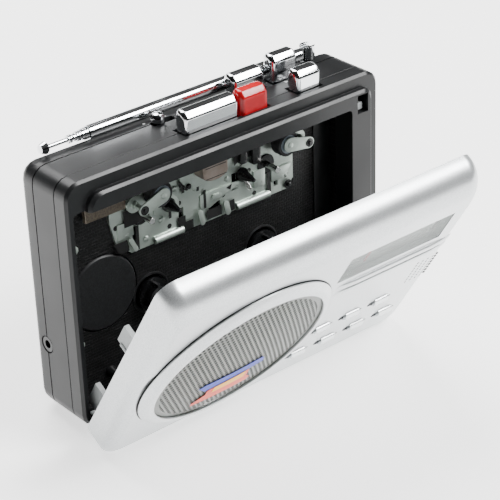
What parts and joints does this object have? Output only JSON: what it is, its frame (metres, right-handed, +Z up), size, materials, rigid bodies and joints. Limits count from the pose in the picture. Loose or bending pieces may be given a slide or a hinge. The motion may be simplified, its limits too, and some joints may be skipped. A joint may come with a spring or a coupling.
{
  "type": "radio cassette recorder",
  "caption": "Portable radio cassette recorder standing with its silver speaker door open, showing the cassette well; keys, dial, battery bay and telescopic antenna move.",
  "frame": {"origin": "middle of the footprint, on the floor", "axes": "+X to the right as seen from the front, -Y out of the front, +Z up; the case leans back about 8.8 degrees, standing on the open door's lower edge and the battery bulge"},
  "size_m": [0.1178, 0.074, 0.0889],
  "materials": {
    "case_plastic": "fine matt texture",
    "well_plastic": "matt black with a fine woven pattern",
    "silver_plastic": "satin silver paint",
    "pale_plastic": "moulded pale grey",
    "chrome_plate": "polished chrome plating",
    "red_plastic": "glossy red",
    "zinc_sheet": "passivated zinc plating",
    "steel": "turned and pressed bare steel",
    "shield_metal": "brown lacquer",
    "motor_paint": "matt speckled black",
    "dark_acetal": "smooth black moulding",
    "rubber": "ground black rubber",
    "brass": "turned",
    "grille_steel": "perforated and painted grey",
    "clear_lens": "clear smoked plastic",
    "scale_print": "printed scale",
    "cone_paper": "pressed paper",
    "circuit_board": "lacquered board"
  },
  "bodies": {
    "case": {"front_frame": "case_plastic", "case_band": "case_plastic", "rear_cover": "case_plastic", "battery_contact": "steel", "battery_spring": "steel", "cassette_well": "well_plastic", "deck_plate": "zinc_sheet", "tape_guide_left": "dark_acetal", "tape_guide_right": "dark_acetal", "shield_can": "shield_metal", "motor": "motor_paint", "drive_belt": "rubber", "main_board": "circuit_board", "dc_jack": "dark_acetal", "headphone_jack": "dark_acetal"},
    "battery_cover": {"battery_cover": "case_plastic"},
    "head_carrier": {"head_slide": "zinc_sheet", "tape_head": "steel"},
    "pinch_arm_left": {"pinch_arm_left": "zinc_sheet"},
    "pinch_roller_left": {"pinch_roller_left": "rubber"},
    "pinch_arm_right": {"pinch_arm_right": "zinc_sheet"},
    "pinch_roller_right": {"pinch_roller_right": "rubber"},
    "flywheel_left": {"flywheel_left": "steel"},
    "flywheel_right": {"flywheel_right": "steel"},
    "reel_spindle_left": {"reel_spindle_left": "dark_acetal"},
    "reel_spindle_right": {"reel_spindle_right": "dark_acetal"},
    "idler_wheel_left": {"idler_wheel_left": "rubber"},
    "idler_wheel_right": {"idler_wheel_right": "rubber"},
    "motor_pulley": {"motor_pulley": "brass"},
    "volume_wheel": {"volume_wheel": "dark_acetal"},
    "play_key": {"play_key": "chrome_plate"},
    "record_key": {"record_key": "red_plastic"},
    "stop_key": {"stop_key": "chrome_plate"},
    "rewind_key": {"rewind_key": "chrome_plate"},
    "forward_key": {"forward_key": "chrome_plate"},
    "function_knob": {"function_knob": "chrome_plate"},
    "door_catch": {"door_catch": "pale_plastic"},
    "antenna_swivel": {"antenna_swivel": "chrome_plate"},
    "antenna_tube": {"antenna_tube": "chrome_plate"},
    "antenna_section_2": {"antenna_section_2": "chrome_plate"},
    "antenna_section_3": {"antenna_section_3": "chrome_plate"},
    "antenna_rod": {"antenna_rod": "chrome_plate"},
    "door": {"door_shell": "silver_plastic", "speaker_ring": "silver_plastic", "speaker_grille": "grille_steel", "speaker_cone": "cone_paper", "speaker_basket": "steel", "door_inner_plate": "pale_plastic", "tuning_lens": "clear_lens", "dial_scale": "scale_print", "microphone": "steel"},
    "dial_pointer": {"dial_pointer": "red_plastic"},
    "tuning_wheel": {"tuning_wheel": "dark_acetal"},
    "push_bar_1": {"push_bar_1": "silver_plastic"},
    "push_bar_2": {"push_bar_2": "silver_plastic"},
    "push_bar_3": {"push_bar_3": "silver_plastic"},
    "push_bar_4": {"push_bar_4": "silver_plastic"},
    "push_bar_5": {"push_bar_5": "silver_plastic"},
    "push_bar_6": {"push_bar_6": "silver_plastic"},
    "push_bar_7": {"push_bar_7": "silver_plastic"}
  },
  "joints": [
    {"name": "door_hinge", "type": "hinge", "parent": "case", "child": "door", "pos_m": [-0.0006, 0.00484, 0.0057], "axis": [1, 0, 0], "range_deg": [-32, 0]},
    {"name": "play_key_press", "type": "slide", "parent": "case", "child": "play_key", "axis": [0, -0.1526, -0.9883], "range_m": [0, 0.0035], "stiffness_N_per_m": 300, "springref_m": -0.003},
    {"name": "record_key_press", "type": "slide", "parent": "case", "child": "record_key", "axis": [0, -0.1526, -0.9883], "range_m": [0, 0.0035], "stiffness_N_per_m": 300, "springref_m": -0.003},
    {"name": "stop_key_press", "type": "slide", "parent": "case", "child": "stop_key", "axis": [0, -0.1526, -0.9883], "range_m": [0, 0.0035], "stiffness_N_per_m": 300, "springref_m": -0.003},
    {"name": "rewind_key_press", "type": "slide", "parent": "case", "child": "rewind_key", "axis": [0, -0.1526, -0.9883], "range_m": [0, 0.0035], "stiffness_N_per_m": 300, "springref_m": -0.003},
    {"name": "forward_key_press", "type": "slide", "parent": "case", "child": "forward_key", "axis": [0, -0.1526, -0.9883], "range_m": [0, 0.0035], "stiffness_N_per_m": 300, "springref_m": -0.003},
    {"name": "head_travel", "type": "slide", "parent": "case", "child": "head_carrier", "axis": [0, -0.1526, -0.9883], "range_m": [0, 0.003]},
    {"name": "pinch_arm_left_pivot", "type": "hinge", "parent": "case", "child": "pinch_arm_left", "pos_m": [-0.0312, 0.01841, 0.06411], "axis": [0, 0.9883, -0.1526], "range_deg": [0, 25]},
    {"name": "pinch_arm_right_pivot", "type": "hinge", "parent": "case", "child": "pinch_arm_right", "pos_m": [0.0313, 0.0185, 0.0647], "axis": [0, 0.9883, -0.1526], "range_deg": [-25, 0]},
    {"name": "pinch_roller_left_spin", "type": "hinge", "parent": "pinch_arm_left", "child": "pinch_roller_left", "pos_m": [-0.0242, 0.01608, 0.0667], "axis": [0, 0.9883, -0.1526], "continuous": true},
    {"name": "pinch_roller_right_spin", "type": "hinge", "parent": "pinch_arm_right", "child": "pinch_roller_right", "pos_m": [0.0237, 0.01608, 0.0667], "axis": [0, 0.9883, -0.1526], "continuous": true},
    {"name": "flywheel_left_spin", "type": "hinge", "parent": "case", "child": "flywheel_left", "pos_m": [-0.0286, 0.02001, 0.05941], "axis": [0, 0.9883, -0.1526], "continuous": true},
    {"name": "flywheel_right_spin", "type": "hinge", "parent": "case", "child": "flywheel_right", "pos_m": [0.0187, 0.02001, 0.05941], "axis": [0, 0.9883, -0.1526], "continuous": true},
    {"name": "motor_pulley_spin", "type": "hinge", "parent": "case", "child": "motor_pulley", "pos_m": [-0.04315, 0.02281, 0.03823], "axis": [0, 0.9883, -0.1526], "continuous": true},
    {"name": "idler_left_spin", "type": "hinge", "parent": "case", "child": "idler_wheel_left", "pos_m": [-0.02752, 0.02311, 0.04668], "axis": [0, 0.9883, -0.1526], "continuous": true},
    {"name": "idler_right_spin", "type": "hinge", "parent": "case", "child": "idler_wheel_right", "pos_m": [0.01762, 0.02311, 0.04668], "axis": [0, 0.9883, -0.1526], "continuous": true},
    {"name": "reel_left_spin", "type": "hinge", "parent": "case", "child": "reel_spindle_left", "pos_m": [-0.0262, 0.01589, 0.03273], "axis": [0, 0.9883, -0.1526], "continuous": true},
    {"name": "reel_right_spin", "type": "hinge", "parent": "case", "child": "reel_spindle_right", "pos_m": [0.0163, 0.01589, 0.03273], "axis": [0, 0.9883, -0.1526], "continuous": true},
    {"name": "catch_travel", "type": "slide", "parent": "case", "child": "door_catch", "axis": [0, 0.1526, 0.9883], "range_m": [0, 0.0025]},
    {"name": "function_knob_slide", "type": "slide", "parent": "case", "child": "function_knob", "axis": [1, 0, 0], "range_m": [0, 0.0036]},
    {"name": "battery_cover_slide", "type": "slide", "parent": "case", "child": "battery_cover", "axis": [1, 0, 0], "range_m": [0, 0.012]},
    {"name": "volume_turn", "type": "hinge", "parent": "case", "child": "volume_wheel", "pos_m": [0.05085, 0.02214, 0.06009], "axis": [0, 0.9883, -0.1526], "range_deg": [0, 270]},
    {"name": "tuning_turn", "type": "hinge", "parent": "door", "child": "tuning_wheel", "pos_m": [0.05085, -0.02521, 0.05418], "axis": [0, 0.919, 0.3943], "range_deg": [-45, 120]},
    {"name": "pointer_travel", "type": "slide", "parent": "door", "child": "dial_pointer", "axis": [1, 0, 0], "range_m": [-0.01, 0.026]},
    {"name": "push_bar_1_press", "type": "slide", "parent": "door", "child": "push_bar_1", "axis": [0, 0.919, 0.3943], "range_m": [0, 0.0008], "stiffness_N_per_m": 500, "springref_m": -0.0008},
    {"name": "push_bar_2_press", "type": "slide", "parent": "door", "child": "push_bar_2", "axis": [0, 0.919, 0.3943], "range_m": [0, 0.0008], "stiffness_N_per_m": 500, "springref_m": -0.0008},
    {"name": "push_bar_3_press", "type": "slide", "parent": "door", "child": "push_bar_3", "axis": [0, 0.919, 0.3943], "range_m": [0, 0.0008], "stiffness_N_per_m": 500, "springref_m": -0.0008},
    {"name": "push_bar_4_press", "type": "slide", "parent": "door", "child": "push_bar_4", "axis": [0, 0.919, 0.3943], "range_m": [0, 0.0008], "stiffness_N_per_m": 500, "springref_m": -0.0008},
    {"name": "push_bar_5_press", "type": "slide", "parent": "door", "child": "push_bar_5", "axis": [0, 0.919, 0.3943], "range_m": [0, 0.0008], "stiffness_N_per_m": 500, "springref_m": -0.0008},
    {"name": "push_bar_6_press", "type": "slide", "parent": "door", "child": "push_bar_6", "axis": [0, 0.919, 0.3943], "range_m": [0, 0.0008], "stiffness_N_per_m": 500, "springref_m": -0.0008},
    {"name": "push_bar_7_press", "type": "slide", "parent": "door", "child": "push_bar_7", "axis": [0, 0.919, 0.3943], "range_m": [0, 0.0008], "stiffness_N_per_m": 500, "springref_m": -0.0008},
    {"name": "antenna_swivel_turn", "type": "hinge", "parent": "case", "child": "antenna_swivel", "pos_m": [0.0474, 0.03425, 0.0815], "axis": [0, 0.1526, 0.9883], "range_deg": [-90, 0]},
    {"name": "antenna_tilt", "type": "hinge", "parent": "antenna_swivel", "child": "antenna_tube", "pos_m": [0.0474, 0.03425, 0.0815], "axis": [0, 0.9883, -0.1526], "range_deg": [0, 90]},
    {"name": "antenna_section_2_slide", "type": "slide", "parent": "antenna_tube", "child": "antenna_section_2", "axis": [-1, 0, 0], "range_m": [0, 0.068]},
    {"name": "antenna_section_3_slide", "type": "slide", "parent": "antenna_section_2", "child": "antenna_section_3", "axis": [-1, 0, 0], "range_m": [0, 0.066]},
    {"name": "antenna_rod_slide", "type": "slide", "parent": "antenna_section_3", "child": "antenna_rod", "axis": [-1, 0, 0], "range_m": [0, 0.064]}
  ],
  "couplings": [
    {"joint": "head_travel", "follows": "play_key_press", "ratio": 0.857},
    {"joint": "pinch_arm_left_pivot", "follows": "play_key_press", "rad_per_m": 124.65},
    {"joint": "pinch_arm_right_pivot", "follows": "play_key_press", "rad_per_m": -124.65},
    {"joint": "flywheel_right_spin", "follows": "flywheel_left_spin", "ratio": 1},
    {"joint": "motor_pulley_spin", "follows": "flywheel_left_spin", "ratio": 3.92},
    {"joint": "idler_left_spin", "follows": "flywheel_left_spin", "ratio": -0.33886},
    {"joint": "idler_right_spin", "follows": "flywheel_left_spin", "ratio": -0.33886},
    {"joint": "reel_left_spin", "follows": "flywheel_left_spin", "ratio": 0.51724},
    {"joint": "reel_right_spin", "follows": "flywheel_left_spin", "ratio": 0.51724},
    {"joint": "catch_travel", "follows": "stop_key_press", "ratio": 0.7},
    {"joint": "pointer_travel", "follows": "tuning_turn", "m_per_rad": 0.012}
  ]
}
